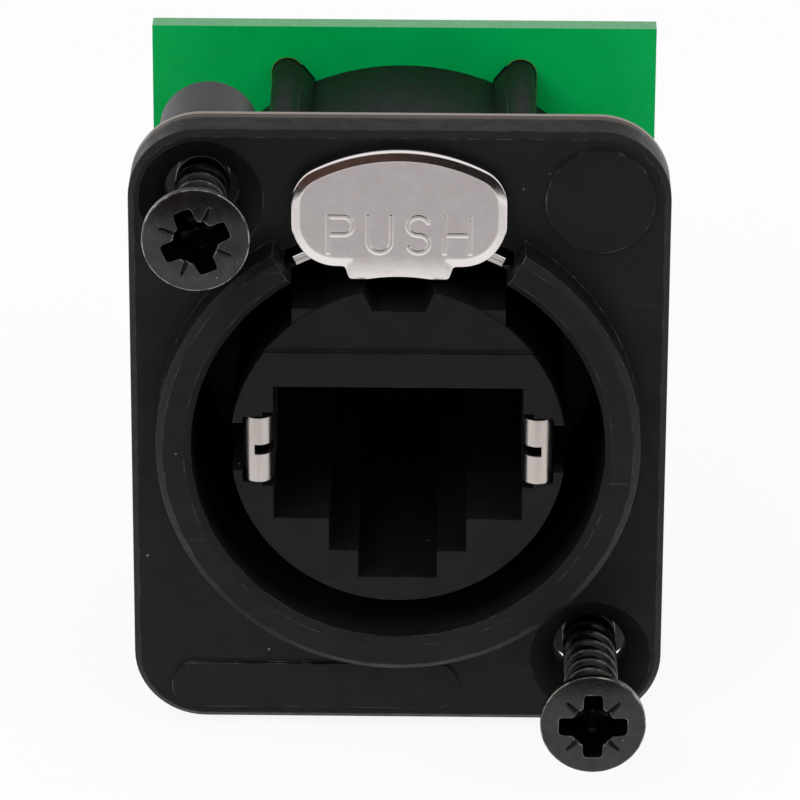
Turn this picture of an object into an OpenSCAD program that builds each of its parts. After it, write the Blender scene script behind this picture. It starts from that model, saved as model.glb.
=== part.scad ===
// Panel-mount ethernet feedthrough adapter: a round locking socket on a D-size flange,
// with a circuit board behind it that carries a second socket.
// X runs across the flange, +Z is up, and the front faces -Y.
// The origin is on the socket's axis, in the plane where the panel meets the ground plate.

/* [Flange] */
// Width of the flange
flange_w = 26; // [25.6:0.2:30]
// Height of the flange
flange_h = 31; // [30.8:0.2:35]
// Thickness of the moulded flange
flange_t = 1.85; // [1.8:0.05:2.4]
// Corner radius of the flange
flange_corner_r = 3.5; // [2:0.25:4]
// Bevel along the front edge of the flange
flange_bevel = 0.3; // [0.2:0.05:0.7]
// Thickness of the metal ground plate behind the flange
plate_t = 0.9; // [0.6:0.05:1.4]
// Distance from the flange's edges to the centre of a screw hole
hole_edge = 3.5; // [3.3:0.1:3.7]
// Clearance hole for a screw
screw_hole_d = 3.6; // [3.1:0.1:3.8]
// Mouth of the countersink
countersink_d = 6; // [5.6:0.1:6.2]

/* [Socket] */
// Width of the flange's land beside the ring
ring_land = 1.3; // [1.2:0.05:1.7]
// How far the ring stands in front of the flange
ring_proud = 2.4; // [1.9:0.1:3.2]
// Bore of the socket, which takes the plug's metal shell
socket_d = 20; // [19.4:0.1:20.2]
// Angle of the opening in the ring, at the latch
ring_gap_angle = 62; // [58:1:66]
// Width of the flange's land beside the tube behind the panel
tube_land = 1.2; // [1.1:0.05:1.5]
// Distance from the panel plane to the circuit board
tube_len = 17.25; // [16:0.25:22]
// How far the socket reaches behind the panel plane
socket_reach = 9; // [7:0.25:10]
// Thickness of the wall at the end of the socket
web_t = 2; // [1.5:0.25:2.5]

/* [Port] */
// Diameter of the round insert that holds the port
insert_d = 16.2; // [15.8:0.1:16.6]
// How far the insert's face lies behind the ring's front
insert_inset = 0.5; // [0.2:0.1:1]
// Width of the port
port_w = 12.05; // [11.8:0.05:12.2]
// Height of the port's top edge above the axis
port_top = 3.16; // [3:0.02:3.3]
// Depth of the port's main floor below the axis
port_floor = 3.76; // [3.7:0.02:3.9]
// Width of the wide step for the plug's tongue
step_w = 6.68; // [6.4:0.02:7]
// Depth of the wide step below the axis
step_floor = 5.45; // [5.2:0.05:5.6]
// Width of the narrow step for the plug's tongue
tongue_w = 3.84; // [3.6:0.02:4.2]
// Depth of the narrow step below the axis
tongue_floor = 6.87; // [6.6:0.01:7]
// Spacing of the eight contacts
contact_pitch = 1.02; // [1:0.01:1.05]
// Width of a contact
contact_w = 0.45; // [0.35:0.01:0.5]
// Thickness of a contact
contact_t = 0.3; // [0.2:0.01:0.35]

/* [Latch] */
// Width of the push plate
latch_w = 10.3; // [9.6:0.1:10.4]
// Height of the push plate
latch_h = 5.74; // [5.5:0.02:5.8]
// Radius of the push plate's crown
latch_crown_r = 9.5; // [9:0.1:11]
// Thickness of the latch sheet
latch_sheet = 0.35; // [0.25:0.01:0.4]
// Width of the bevel round the push plate's face
latch_bevel = 0.45; // [0.3:0.01:0.5]
// Depth of the bevel round the push plate's face
latch_bevel_t = 0.18; // [0.1:0.01:0.3]
// How far the push plate stands in front of the flange
latch_proud = 0.95; // [0.85:0.05:1.2]
// Depth of the turned-back rim round the push plate
latch_rim = 0.48; // [0.4:0.01:0.5]
// Width of the locking hook
hook_w = 5.2; // [4.6:0.1:5.4]
// Diameter of the latch's pivot pin
pivot_d = 1; // [0.8:0.05:1.1]
// Thickness of the leaf spring
leaf_t = 0.5; // [0.3:0.01:0.55]

/* [Board] */
// How far the circuit board's sides lie inside the flange's sides
board_side = 0.15; // [0:0.05:0.6]
// How far the circuit board's top and foot lie inside the flange's
board_end = 1.65; // [0.5:0.05:2]
// Thickness of the circuit board
board_t = 1.2; // [0.8:0.1:1.6]
// Distance across between the board's clip posts
post_span = 11.9; // [11.4:0.1:12.4]
// Width of a clip post
post_w = 1.5; // [1.2:0.05:1.8]
// How far a post's round top stands above the tube
post_rise = 0.3; // [0:0.05:0.4]

/* [Rear socket] */
// Width of the rear socket's body
jack_w = 15.4; // [14.8:0.1:16]
// Depth of the rear socket's body
jack_depth = 15; // [14:0.25:18]
// Thickness of the rear socket's metal can
can_t = 0.3; // [0.2:0.01:0.4]

/* [Screws] */
// Length of a screw, below its rim
screw_len = 13.5; // [12:0.25:14]
// Diameter of a screw's head
screw_head_d = 5.1; // [4.8:0.1:5.4]
// Diameter of a screw's shank
screw_d = 2.6; // [2.4:0.05:2.8]
// Gap from the flange to the upper screw's head
upper_screw_out = 5.4; // [1:0.1:7]
// Gap from the flange to the lower screw's head
lower_screw_out = 7.6; // [1:0.1:8]
// Thickness of the panel between the ground plate and the screw sleeves
panel_t = 2; // [1:0.25:3]
// Outer diameter of a screw sleeve
sleeve_d = 4.9; // [4.4:0.1:5]
// How far a screw sleeve reaches behind the panel plane
sleeve_reach = 7.5; // [6:0.1:9]

/* [Hidden] */
$fn = 64;

// Clearances and small overlaps
slip = 0.03;
running = 0.05;
free = 0.35;
cut = 1;

// Planes across the axis
flange_front = -(flange_t + plate_t);
ring_front = flange_front - ring_proud;
insert_front = ring_front + insert_inset;
board_front = tube_len;
board_rear = board_front + board_t;
board_middle = board_front + board_t / 2;
web_front = socket_reach;
web_rear = socket_reach + web_t;

// Radii round the axis
ring_r = flange_w / 2 - ring_land;
socket_r = socket_d / 2;
tube_r = flange_w / 2 - tube_land;
insert_r = insert_d / 2;
ring_edge = min(0.35, (ring_r - socket_r) / 3);
collar_t = 2;
collar_r = socket_r - 0.3;
plate_hole_r = tube_r + 0.15;

// Screw places: upper left and lower right, seen from the front
hole_x = flange_w / 2 - hole_edge;
hole_z = flange_h / 2 - hole_edge;
upper_place = [-hole_x, hole_z];
lower_place = [hole_x, -hole_z];
sleeve_front = panel_t + slip;
sleeve_edge = 0.3;

// Raised pads on the flange's front
pad_t = 0.2;
disc_d = 5.2;
disc_edge = 3.4;
disc_place = [flange_w / 2 - disc_edge, flange_h / 2 - disc_edge];
bar_w = 14.2;
bar_h = 2.4;
bar_side = 1.85;
bar_foot = 1.9;
bar_place = [bar_side + bar_w / 2 - flange_w / 2, bar_foot - flange_h / 2];

// Leaf spring: an arch whose ends stand on two shoulders in the socket wall
shoulder_x = 4.8;
shoulder_z = sqrt(socket_r * socket_r - shoulder_x * shoulder_x);
leaf_angle = 27;
leaf_r = 11;
leaf_end_z = shoulder_z + slip + leaf_t / 2 * cos(leaf_angle);
leaf_centre_z = leaf_end_z - leaf_r * cos(leaf_angle);
leaf_top = leaf_centre_z + leaf_r + leaf_t / 2;
leaf_front = flange_front - free;
leaf_rear = 0.8;

// Latch: pivots on a pin across the flange, above the leaf spring
knuckle_r = pivot_d / 2 + 0.4;
knuckle_w = 4;
pivot_y = flange_front + 0.85;
pivot_z = leaf_top + knuckle_r + 2 * slip;
latch_front = flange_front - latch_proud;
latch_low_z = pivot_z - 2.33;
latch_top_z = latch_low_z + latch_h;
latch_low_r = 2.2;
latch_low_x = latch_w / 2 - latch_low_r;
latch_low_turn = latch_low_z + latch_low_r;
latch_high_r = 3.1;
latch_high_x = latch_w / 2 - latch_high_r;
latch_high_turn = latch_low_turn + 0.3;
hook_low_z = insert_r + 0.2;
hook_arc_r = insert_r + free;
hook_depth = 1.2;
tongue_t = 0.45;
tongue_end = 0.6;
tongue_low_z = leaf_top + slip;
pin_half = 4.2;
cavity_half = 5.5;
cavity_rear = leaf_rear + 0.4;
tongue_half = knuckle_w / 2 + 0.3;
hook_taper = 0.21;
crown_z = latch_top_z - latch_crown_r;

// Port, contacts and shield tabs
ledge_z = 4.9;
ledge_t = 0.25;
ear_place = [4.5, 6.45];
ear_w = 1.25;
ear_set_back = 0.3;
notch_floor = insert_r - 1.12;
notch_half = 1.26;
notch_slope = 0.34;
notch_depth = 6;
channel_end_wall = 1.5;
tongue_channel = 12;
tab_t = 0.25;
tab_r = 0.72;
tab_x = port_w / 2 + tab_r;
tab_low = -1.81;
tab_high = 1.52;
tab_leg = 4;
tab_slit = 0.5;
tab_slit_z = -0.12;
tab_slit_reach = 0.18;
tab_notch_w = 0.53;
tab_notch_low = 0.25;
tab_notch_high = 0.3;
tab_sink = 0.1;
tab_slot_depth = 6;
tab_rim_half = 1.25;
pin_z = 2.3;
pin_hole_d = 0.7;
pin_tail = 0.8;
front_inset = 4.2;
rear_inset = 4;
front_reach = board_front - insert_front - front_inset;
rear_reach = jack_depth - rear_inset;
hairpin_start = 2.5;
hairpin_top = [0.6, 0.3];
hairpin_nose = 0.05;
hairpin_turn = [0.1, 0.45];
arm_end = [5.5, 1.2];
block_low = 1.2;
front_block_len = 7.5;
rear_block_len = 3.5;

// Board slots, rear socket body and can legs
board_w = flange_w - 2 * board_side;
board_h = flange_h - 2 * board_end;
slot_gap = 0.04;
post_x = post_span / 2;
post_root = 0.31;
post_top = tube_r + post_rise;
post_low = sqrt(pow(tube_r, 2) - pow(post_x + post_w / 2, 2)) - post_root;
post_start = 5;
gusset_w = 0.6;
gusset_start = 0.35;
gusset_drop = 1.1;
stake_lap = 0.2;
stake_t = 0.7;
jack_roof = 1.8;
jack_foot = 1.1;
jack_top = port_top + jack_roof;
jack_low = -(tongue_floor + jack_foot);
can_gap = 0.05;
can_stand = 0.6;
leg_w = 1.2;
leg_hole_d = 1.6;
leg_x = jack_w / 2 + can_gap + can_t / 2;

// Screw head and point
head_dome = 0.3;
head_edge = 0.07;
head_rim = 0.4;
head_cone = 1.5;
point_len = 1.2;
cross_w = 1;
cross_len = 3.4;
cross_tip = 0.9;
cross_depth = 1.6;
cross_slope = (cross_len / 2 - cross_tip) / cross_depth;
upper_cross_turn = 23;
lower_cross_turn = 0;

// A profile in X and Z, carried along Y
module along_y(y0, y1) {
    translate([0, y1, 0]) rotate([90, 0, 0]) linear_extrude(y1 - y0) children();
}

// A profile in Y and Z, carried along X
module along_x(x0, x1) {
    translate([x0, 0, 0]) rotate([90, 0, 90]) linear_extrude(x1 - x0) children();
}

// A profile in X and Y, carried along Z
module along_z(z0, z1) {
    translate([0, 0, z0]) linear_extrude(z1 - z0) children();
}

// A profile in radius and Y, turned round the Y axis
module turned() {
    rotate([-90, 0, 0]) rotate_extrude($fn = 128) children();
}

module rod(r, y0, y1) {
    along_y(y0, y1) circle(r);
}

module at(place) {
    translate([place[0], 0, place[1]]) children();
}

module rounded_rect(w, h, r) {
    square([w - 2 * r, h], center = true);
    square([w, h - 2 * r], center = true);
    for (sx = [-1, 1], sz = [-1, 1]) {
        translate([sx * (w / 2 - r), sz * (h / 2 - r)]) circle(r);
    }
}

module stadium(w, h) {
    square([w - h, h], center = true);
    for (s = [-1, 1]) translate([s * (w - h) / 2, 0]) circle(h / 2);
}

// A slab with round corners and a bevel along its front edge
module bevelled_slab(w, h, r, bevel, y0, y1) {
    along_x(-(w / 2 - r), w / 2 - r)
        polygon([[y1, -h / 2], [y1, h / 2], [y0 + bevel, h / 2], [y0, h / 2 - bevel],
                 [y0, bevel - h / 2], [y0 + bevel, -h / 2]]);
    along_z(-(h / 2 - r), h / 2 - r)
        polygon([[-w / 2, y1], [w / 2, y1], [w / 2, y0 + bevel], [w / 2 - bevel, y0],
                 [bevel - w / 2, y0], [-w / 2, y0 + bevel]]);
    for (sx = [-1, 1], sz = [-1, 1]) at([sx * (w / 2 - r), sz * (h / 2 - r)])
        bevelled_disc(r, bevel, bevel, y0, y1);
}

module countersunk_hole() {
    turned() polygon([[0, flange_front - cut], [countersink_d / 2, flange_front - cut],
                      [countersink_d / 2, flange_front],
                      [screw_hole_d / 2, flange_front + (countersink_d - screw_hole_d) / 2],
                      [screw_hole_d / 2, cut], [0, cut]]);
}

// The ring in front of the flange, with an eased outer edge and a lead-in at its bore
module locking_ring() {
    difference() {
        turned() polygon([[socket_r, ring_front + ring_edge], [socket_r + ring_edge, ring_front],
                          [ring_r - ring_edge, ring_front], [ring_r, ring_front + ring_edge],
                          [ring_r, flange_front + ring_edge], [socket_r, flange_front + ring_edge]]);
        along_y(ring_front - cut, flange_front)
            polygon([[0, 0], 2 * ring_r * [-sin(ring_gap_angle / 2), cos(ring_gap_angle / 2)],
                     2 * ring_r * [sin(ring_gap_angle / 2), cos(ring_gap_angle / 2)]]);
    }
}

// A post's section, with a sloping gusset on the side towards the middle
module post_section(side, gap) {
    translate([side * post_x, 0]) {
        translate([0, post_top - post_w / 2]) circle(post_w / 2 + gap);
        translate([-post_w / 2 - gap, post_low - gap])
            square([post_w + 2 * gap, post_top - post_w / 2 - post_low + gap]);
        polygon([[0, post_low - gap], [0, post_top - gusset_start + gap],
                 [-side * (post_w / 2 + gap), post_top - gusset_start + gap],
                 [-side * (post_w / 2 + gusset_w + gap), post_top - gusset_drop + gap],
                 [-side * (post_w / 2 + gusset_w + gap), post_low - gap]]);
    }
}

// A rail along the tube that passes through the board and is staked over its rear face
module clip_post(side) {
    along_y(post_start, board_rear + slip) post_section(side, 0);
    along_y(board_rear + slip, board_rear + slip + stake_t) post_section(side, stake_lap);
}

// A disc with a bevel round its front face
module bevelled_disc(r, bevel, depth, y0, y1) {
    turned() polygon([[0, y0], [r - bevel, y0], [r, y0 + depth], [r, y1], [0, y1]]);
}

// The push plate as a solid button with a bevelled face, shrunk all round by inset
module latch_button(inset, y0, y1) {
    half = latch_w / 2 - inset;
    foot = latch_low_z + inset;
    high_r = latch_high_r - inset;
    intersection() {
        at([0, crown_z]) bevelled_disc(latch_crown_r - inset, latch_bevel, latch_bevel_t, y0, y1);
        union() {
            along_x(-latch_low_x, latch_low_x)
                polygon([[y0, latch_high_turn], [y0, foot + latch_bevel], [y0 + latch_bevel_t, foot],
                         [y1, foot], [y1, latch_high_turn]]);
            along_z(latch_low_turn, latch_high_turn)
                polygon([[latch_bevel - half, y0], [half - latch_bevel, y0], [half, y0 + latch_bevel_t],
                         [half, y1], [-half, y1], [-half, y0 + latch_bevel_t]]);
            along_y(y0, y1) translate([-latch_high_x, latch_low_turn])
                square([2 * latch_high_x, latch_high_turn + high_r - latch_low_turn]);
            for (sx = [-1, 1]) {
                at([sx * latch_low_x, latch_low_turn])
                    bevelled_disc(latch_low_r - inset, latch_bevel, latch_bevel_t, y0, y1);
                intersection() {
                    at([sx * latch_high_x, latch_high_turn])
                        bevelled_disc(high_r, latch_bevel, latch_bevel_t, y0, y1);
                    along_y(y0 - cut, y1 + cut) translate([-latch_w, latch_high_turn])
                        square([2 * latch_w, latch_w]);
                }
            }
        }
    }
}

// Room for the leaf spring, the latch's knuckle and its tongue
module latch_cavity() {
    along_y(flange_front - cut, cavity_rear) intersection() {
        translate([-cavity_half, shoulder_z]) square([2 * cavity_half, leaf_top]);
        translate([0, leaf_centre_z]) circle(leaf_r + leaf_t / 2 + free, $fn = 128);
    }
    along_y(flange_front - cut, cavity_rear)
        translate([-tongue_half, shoulder_z])
        square([2 * tongue_half, tongue_low_z + tongue_t + free - shoulder_z]);
    along_y(flange_front - cut, pivot_y + knuckle_r + slip)
        translate([-tongue_half, shoulder_z])
        square([2 * tongue_half, pivot_z + knuckle_r + free - shoulder_z]);
    along_x(-pin_half - slip, pin_half + slip) {
        translate([pivot_y, pivot_z]) circle(pivot_d / 2 + slip / 2);
        translate([flange_front - cut, pivot_z - pivot_d / 2 - slip / 2])
            square([pivot_y - flange_front + cut, pivot_d + slip]);
    }
}

module front_housing() {
    color("#1c1c1e") difference() {
        union() {
            difference() {
                union() {
                    bevelled_slab(flange_w, flange_h, flange_corner_r, flange_bevel, flange_front, -plate_t);
                    rod(tube_r, -plate_t - cut / 2, board_front);
                    for (side = [-1, 1], turn = [0, 180]) rotate([0, turn, 0]) clip_post(side);
                }
                rod(socket_r, flange_front - cut, web_front);
                rod(insert_r + slip, web_front - cut, web_rear + cut);
                rod(socket_r, web_rear, board_front + cut);
            }
            locking_ring();
            at(disc_place) rod(disc_d / 2, flange_front - pad_t, flange_front + pad_t);
            along_y(flange_front - pad_t, flange_front + pad_t) translate(bar_place) stadium(bar_w, bar_h);
        }
        for (place = [upper_place, lower_place]) at(place) {
            countersunk_hole();
            rod(sleeve_d / 2 + free, 0, sleeve_reach + free);
        }
        latch_cavity();
    }
}

module ground_plate() {
    color("#8d8378") difference() {
        along_y(-plate_t, 0) difference() {
            rounded_rect(flange_w, flange_h, flange_corner_r);
            circle(plate_hole_r);
            for (place = [upper_place, lower_place]) translate(place) circle(screw_hole_d / 2);
        }
        latch_cavity();
    }
}

// The port's opening: a wide slot over two steps for the plug's tongue
module port_profile() {
    translate([-port_w / 2, -port_floor]) square([port_w, port_top + port_floor]);
}

module tongue_profile() {
    translate([-step_w / 2, -step_floor]) square([step_w, step_floor]);
    translate([-tongue_w / 2, -tongue_floor]) square([tongue_w, tongue_floor]);
}

// Slots at the port's sides for the shield tabs, narrower where they meet the rim
module tab_slots() {
    for (sx = [-1, 1]) along_y(insert_front - cut, insert_front + tab_slot_depth) scale([sx, 1]) {
        translate([port_w / 2 - cut, tab_low - running])
            square([tab_x + tab_r + running - port_w / 2 + cut, tab_high - tab_low + 2 * running]);
        translate([port_w / 2 - cut, tab_low - tab_notch_low])
            square([tab_notch_w + cut, tab_high - tab_low + tab_notch_low + tab_notch_high]);
        translate([port_w / 2, -tab_rim_half]) square([insert_r, 2 * tab_rim_half]);
    }
}

module port_insert() {
    color("#202022") difference() {
        union() {
            rod(insert_r, insert_front, board_front - slip);
            rod(collar_r, web_rear + slip, web_rear + slip + collar_t);
            for (sx = [-1, 1]) along_y(insert_front + ear_set_back, web_front - free)
                translate([sx * ear_place[0], ear_place[1]]) square(ear_w, center = true);
        }
        along_y(insert_front - cut, board_front + cut) port_profile();
        along_y(insert_front - cut, board_front - channel_end_wall) tongue_profile();
        along_y(insert_front - cut, insert_front + ledge_t)
            translate([-insert_r - cut, ledge_z]) square([2 * (insert_r + cut), insert_r]);
        along_y(insert_front - cut, insert_front + notch_depth)
            polygon([[-notch_half, notch_floor], [notch_half, notch_floor],
                     [notch_half + 2 * notch_slope, insert_r + notch_slope],
                     [-notch_half - 2 * notch_slope, insert_r + notch_slope]]);
        tab_slots();
    }
}

// A strip of sheet rolled over the port's front edge, with a slit across its inner half
module shield_tab(side) {
    roll_y = insert_front + tab_r - tab_sink;
    color("#c9c6c0") difference() {
        along_z(tab_low, tab_high) scale([side, 1]) translate([tab_x, roll_y]) {
            difference() {
                circle(tab_r);
                circle(tab_r - tab_t);
                translate([-2 * tab_r, 0]) square(4 * tab_r);
            }
            translate([-tab_r, 0]) square([tab_t, tab_leg]);
            translate([tab_r - tab_t, 0]) square([tab_t, tab_leg / 2]);
        }
        along_y(insert_front - cut, roll_y + tab_leg + cut) scale([side, 1])
            translate([tab_x - 2 * tab_r, tab_slit_z - tab_slit / 2])
            square([2 * tab_r + tab_slit_reach, tab_slit]);
    }
}

function unit(v) = v / norm(v);
function across(v) = [-v[1], v[0]];
function backwards(list) = [for (i = [len(list) - 1:-1:0]) list[i]];

// One edge of a strip of even thickness along a path, mitred at each bend
function strip_edge(path, d) = [
    for (i = [0:len(path) - 1])
    let (j = max(i, 1), k = min(i, len(path) - 2),
         before = across(unit(path[j] - path[j - 1])),
         after = across(unit(path[k + 1] - path[k])),
         mitre = unit(before + after))
    path[i] + mitre * d / (mitre * before)];

module strip(path, t) {
    polygon(concat(strip_edge(path, t / 2), backwards(strip_edge(path, -t / 2))));
}

function contact_x(i) = (i - 4.5) * contact_pitch;

// A spring contact: a tail in the board, a run along the port's ceiling, a hairpin and a sloping arm
module contact(i, reach) {
    bend = board_front - reach;
    path = [[board_rear + pin_tail, pin_z], [bend + hairpin_start, pin_z],
            [bend + hairpin_top[0], pin_z + hairpin_top[1]], [bend, pin_z + hairpin_nose],
            [bend + hairpin_turn[0], pin_z - hairpin_turn[1]], [bend + arm_end[0], pin_z - arm_end[1]]];
    color("#d4b35a") along_x(contact_x(i) - contact_w / 2, contact_x(i) + contact_w / 2)
        strip(path, contact_t);
}

// A comb at the back of a port that holds its eight contacts in line
module contact_block(len) {
    half = port_w / 2 - free / 3;
    color("#2b2b2d") difference() {
        along_y(board_front - slip - len, board_front - slip)
            translate([-half, block_low]) square([2 * half, port_top - slip - block_low]);
        along_y(board_front - len - cut, board_front + cut) for (i = [1:8])
            translate([contact_x(i), pin_z])
            square([contact_w + 2 * slip, contact_t + 2 * slip], center = true);
    }
}

// Turns what is drawn at the board's front round to its rear
module at_rear() {
    translate([0, board_middle, 0]) rotate([180, 0, 0]) translate([0, -board_middle, 0]) children();
}

// A stamped plate with a turned-back rim, a hook below it, and a lever on the pivot pin
module push_latch() {
    color("#c8c4bf") difference() {
        union() {
            difference() {
                latch_button(0, latch_front, latch_front + latch_rim);
                latch_button(latch_sheet, latch_front + latch_sheet, latch_front + latch_rim + cut);
            }
            along_y(latch_front, latch_front + latch_rim)
                translate([-hook_w / 2, latch_low_z]) square([hook_w, latch_bevel]);
            along_y(latch_front, latch_front + hook_depth) difference() {
                polygon([[-hook_w / 2, latch_low_z], [hook_w / 2, latch_low_z],
                         [hook_w / 2 - hook_taper, hook_low_z], [hook_taper - hook_w / 2, hook_low_z]]);
                circle(hook_arc_r);
            }
            along_x(-knuckle_w / 2, knuckle_w / 2) {
                translate([pivot_y, pivot_z]) circle(knuckle_r);
                translate([latch_front + latch_sheet / 2, tongue_low_z + slip])
                    square([pivot_y - latch_front, 2 * knuckle_r - 2 * slip]);
                translate([pivot_y, tongue_low_z]) square([tongue_end - pivot_y, tongue_t]);
            }
        }
        along_x(-knuckle_w, knuckle_w) translate([pivot_y, pivot_z]) circle(pivot_d / 2 + running);
    }
}

module latch_pivot_pin() {
    color("#9a9a9c") along_x(-pin_half, pin_half) translate([pivot_y, pivot_z]) circle(pivot_d / 2);
}

module latch_spring() {
    color("#b9b6b0") along_y(leaf_front, leaf_rear) translate([0, leaf_centre_z]) intersection() {
        difference() {
            circle(leaf_r + leaf_t / 2, $fn = 128);
            circle(leaf_r - leaf_t / 2, $fn = 128);
        }
        polygon([[0, 0], 2 * leaf_r * [-sin(leaf_angle), cos(leaf_angle)],
                 2 * leaf_r * [sin(leaf_angle), cos(leaf_angle)]]);
    }
}

module circuit_board() {
    color("#0c8a42") along_y(board_front, board_rear) difference() {
        square([board_w, board_h], center = true);
        for (side = [-1, 1], turn = [0, 180]) rotate(turn) post_section(side, slot_gap);
        for (i = [1:8], sz = [-1, 1]) translate([contact_x(i), sz * pin_z]) circle(pin_hole_d / 2);
        for (sx = [-1, 1]) translate([sx * leg_x, 0]) circle(leg_hole_d / 2);
    }
}

module rear_jack() {
    color("#27272a") at_rear() difference() {
        along_y(board_front - jack_depth, board_front)
            translate([-jack_w / 2, jack_low]) square([jack_w, jack_top - jack_low]);
        along_y(board_front - jack_depth - cut, board_front + cut) port_profile();
        along_y(board_front - jack_depth - cut, board_front - jack_depth + tongue_channel) tongue_profile();
    }
}

// A can of sheet metal over the rear socket, with a leg at each side soldered into the board
module rear_jack_can() {
    outer_w = jack_w + 2 * (can_gap + can_t);
    outer_h = jack_top - jack_low + 2 * (can_gap + can_t);
    mouth_rim = 0.25;
    color("#bdbdbf") at_rear() {
        difference() {
            along_y(board_front - jack_depth - slip - can_t, board_front - can_stand)
                translate([-outer_w / 2, jack_low - can_gap - can_t]) square([outer_w, outer_h]);
            along_y(board_front - jack_depth - slip, board_front)
                translate([can_t - outer_w / 2, jack_low - can_gap])
                square([outer_w - 2 * can_t, outer_h - 2 * can_t]);
            along_y(board_front - jack_depth - cut, board_front) {
                translate([-port_w / 2 - mouth_rim, -port_floor - mouth_rim])
                    square([port_w + 2 * mouth_rim, port_top + port_floor + 2 * mouth_rim]);
                translate([-step_w / 2 - mouth_rim, -tongue_floor - mouth_rim])
                    square([step_w + 2 * mouth_rim, tongue_floor]);
            }
        }
        for (sx = [-1, 1]) along_y(board_front - can_stand - can_t, board_rear - slip)
            translate([sx * leg_x, 0]) square([can_t, leg_w], center = true);
    }
}

// A raised countersunk screw with a cross recess
module screw(place, out, turn) {
    head_y = flange_front - out;
    color("#3b3a3b") at(place) difference() {
        turned() translate([0, head_y])
            polygon([[0, -head_dome], [screw_head_d / 4, -head_dome * 0.8], [screw_head_d / 2 - head_edge, 0],
                     [screw_head_d / 2, head_edge], [screw_head_d / 2, head_rim],
                     [screw_d / 2, head_rim + head_cone],
                     [screw_d / 2, screw_len - point_len], [0, screw_len]]);
        intersection() {
            union() for (half = [0, 90]) rotate([0, turn + half, 0])
                along_y(head_y - cut, head_y + cross_depth) square([2 * cross_len, cross_w], center = true);
            turned() translate([0, head_y])
                polygon([[0, -cut], [cross_len / 2 + cut * cross_slope, -cut],
                         [cross_tip, cross_depth], [0, cross_depth]]);
        }
    }
}

module screw_sleeve(place) {
    color("#56545c") at(place) difference() {
        turned() polygon([[0, sleeve_front], [sleeve_d / 2, sleeve_front],
                          [sleeve_d / 2, sleeve_reach - sleeve_edge],
                          [sleeve_d / 2 - sleeve_edge, sleeve_reach], [0, sleeve_reach]]);
        rod(screw_d / 2 + running, sleeve_front - cut, sleeve_reach + cut);
    }
}

front_housing();
ground_plate();
port_insert();
shield_tab(-1);  // shield_tab_left
shield_tab(1);  // shield_tab_right
contact_block(front_block_len);  // front_contact_block
contact(1, front_reach);  // front_contact_1
contact(2, front_reach);  // front_contact_2
contact(3, front_reach);  // front_contact_3
contact(4, front_reach);  // front_contact_4
contact(5, front_reach);  // front_contact_5
contact(6, front_reach);  // front_contact_6
contact(7, front_reach);  // front_contact_7
contact(8, front_reach);  // front_contact_8
push_latch();
latch_pivot_pin();
latch_spring();
circuit_board();
rear_jack();
rear_jack_can();
at_rear() contact_block(rear_block_len);  // rear_contact_block
at_rear() contact(1, rear_reach);  // rear_contact_1
at_rear() contact(2, rear_reach);  // rear_contact_2
at_rear() contact(3, rear_reach);  // rear_contact_3
at_rear() contact(4, rear_reach);  // rear_contact_4
at_rear() contact(5, rear_reach);  // rear_contact_5
at_rear() contact(6, rear_reach);  // rear_contact_6
at_rear() contact(7, rear_reach);  // rear_contact_7
at_rear() contact(8, rear_reach);  // rear_contact_8
screw(upper_place, upper_screw_out, upper_cross_turn);  // upper_screw
screw(lower_place, lower_screw_out, lower_cross_turn);  // lower_screw
screw_sleeve(upper_place);  // upper_screw_sleeve
screw_sleeve(lower_place);  // lower_screw_sleeve
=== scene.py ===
import math

import bmesh
import bpy
import numpy as np
from mathutils import Matrix, Vector


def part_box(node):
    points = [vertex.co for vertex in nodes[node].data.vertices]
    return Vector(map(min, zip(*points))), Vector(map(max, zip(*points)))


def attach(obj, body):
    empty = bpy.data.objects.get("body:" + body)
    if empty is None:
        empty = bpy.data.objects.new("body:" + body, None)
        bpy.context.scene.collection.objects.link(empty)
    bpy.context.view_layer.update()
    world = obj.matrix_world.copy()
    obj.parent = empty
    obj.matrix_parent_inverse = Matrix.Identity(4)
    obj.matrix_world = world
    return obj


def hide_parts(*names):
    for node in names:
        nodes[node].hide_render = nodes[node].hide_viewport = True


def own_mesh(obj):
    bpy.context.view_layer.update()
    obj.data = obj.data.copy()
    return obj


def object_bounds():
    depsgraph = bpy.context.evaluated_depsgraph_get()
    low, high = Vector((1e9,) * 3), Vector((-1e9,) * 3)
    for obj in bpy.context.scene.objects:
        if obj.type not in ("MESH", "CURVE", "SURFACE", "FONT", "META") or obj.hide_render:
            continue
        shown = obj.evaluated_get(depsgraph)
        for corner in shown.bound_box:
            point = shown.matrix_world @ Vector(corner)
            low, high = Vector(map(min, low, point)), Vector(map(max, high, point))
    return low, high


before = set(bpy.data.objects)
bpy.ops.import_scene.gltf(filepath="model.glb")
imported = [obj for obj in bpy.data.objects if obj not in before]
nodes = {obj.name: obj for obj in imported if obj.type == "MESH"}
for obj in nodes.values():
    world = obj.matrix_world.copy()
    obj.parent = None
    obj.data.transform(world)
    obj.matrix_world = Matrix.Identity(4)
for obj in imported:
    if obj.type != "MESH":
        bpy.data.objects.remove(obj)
cad_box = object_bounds()

# Front housing: one black thermoplastic moulding with the flange, the open ring, the tube and the clip posts.
# It comes from the tool with a fine grain, and handling leaves hairlines, dust and edges worn slightly pale
# by rubbing, whose pale tone is also a painted highlight.
MM = 0.001
EVEN = (1, 1, 1)
NOISE_GRAIN = 0.55
NOISE_LOW = 0.3
NOISE_HIGH = 0.7
SPECK_CORE = 0.4
SPECK_PICK = 0.01
BEVEL_SAMPLES = 6
EDGE_TURNED = 0.9
EDGE_FLAT = 0.99


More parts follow.
